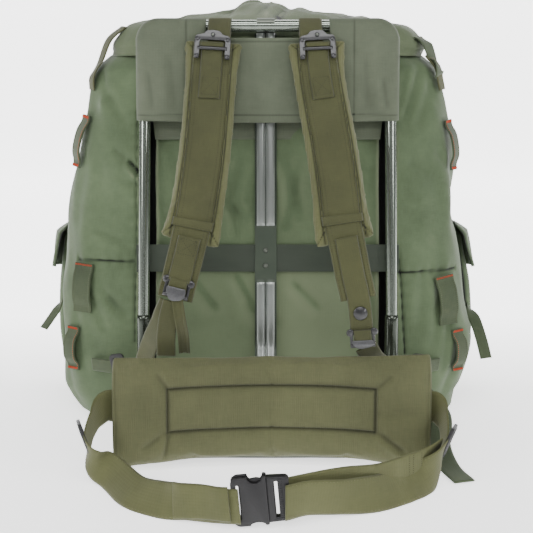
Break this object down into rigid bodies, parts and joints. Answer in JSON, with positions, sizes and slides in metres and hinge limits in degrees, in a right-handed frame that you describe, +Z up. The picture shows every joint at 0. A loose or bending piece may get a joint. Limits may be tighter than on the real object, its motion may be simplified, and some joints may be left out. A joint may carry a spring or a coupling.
{
  "type": "external frame backpack",
  "caption": "Large cloth rucksack hung on an external tube frame, with padded shoulder straps, kidney pad and waist belt.",
  "frame": {"origin": "a point on the flat bottom face of the bag, in line with its middle", "axes": "+Z up, -Y towards the wearer's back, +X across to the picture's right"},
  "size_m": [0.6398, 0.6229, 0.537],
  "materials": {
    "bag_cloth": "coated nylon duck, plain weave",
    "lid_cloth": "coated nylon duck, faded",
    "sleeve_cloth": "coated nylon duck, grey green",
    "pad_cloth": "padded nylon, ribbed weave",
    "webbing": "ribbed nylon webbing",
    "belt_webbing": "ribbed nylon webbing, paler",
    "dark_webbing": "nylon webbing, dark green",
    "frame_paint": "semi gloss green paint on aluminium tube",
    "steel": "worn plated steel",
    "black_metal": "black lacquered steel",
    "black_plastic": "moulded plastic"
  },
  "bodies": {
    "root": {"anchor_strap_left": "webbing", "anchor_strap_right": "webbing", "bag_anchor_buckle_left": "black_plastic", "bag_anchor_buckle_right": "black_plastic", "bag_anchor_left": "dark_webbing", "bag_anchor_right": "dark_webbing", "bag_body": "bag_cloth", "belt_slider_left": "black_plastic", "belt_slider_right": "black_plastic", "buckle_socket": "black_plastic", "buckle_tongue": "black_plastic", "center_pocket": "bag_cloth", "center_pocket_flap": "bag_cloth", "center_stay": "frame_paint", "cross_bar": "frame_paint", "floor_tail_right": "dark_webbing", "frame_sleeve": "sleeve_cloth", "hanger_left_lower": "dark_webbing", "hanger_left_middle": "dark_webbing", "hanger_left_upper": "dark_webbing", "hanger_right_lower": "dark_webbing", "hanger_right_middle": "dark_webbing", "hanger_right_upper": "dark_webbing", "kidney_pad": "pad_cloth", "lid_flap": "lid_cloth", "lid_strap_left": "dark_webbing", "lid_strap_right": "dark_webbing", "lower_buckle_left": "black_metal", "lower_buckle_right": "black_metal", "lower_frame_tube": "frame_paint", "lower_tab_left": "webbing", "lower_tab_right": "webbing", "pad_strip_left": "webbing", "pad_strip_right": "webbing", "press_stud": "black_metal", "pull_tab": "webbing", "shoulder_pad_left": "pad_cloth", "shoulder_pad_right": "pad_cloth", "side_pocket_left": "bag_cloth", "side_pocket_left_flap": "bag_cloth", "side_pocket_right": "bag_cloth", "side_pocket_right_flap": "bag_cloth", "side_tail_left": "dark_webbing", "side_tail_right": "dark_webbing", "stay_clip": "steel", "stay_rivet_lower": "steel", "stay_rivet_upper": "steel", "top_buckle_left": "black_metal", "top_buckle_right": "black_metal", "top_loop_left": "webbing", "top_loop_right": "webbing", "upper_frame_tube": "frame_paint", "upper_tab_left": "webbing", "upper_tab_right": "webbing", "waist_belt_left": "belt_webbing", "waist_belt_right": "belt_webbing"}
  },
  "joints": []
}
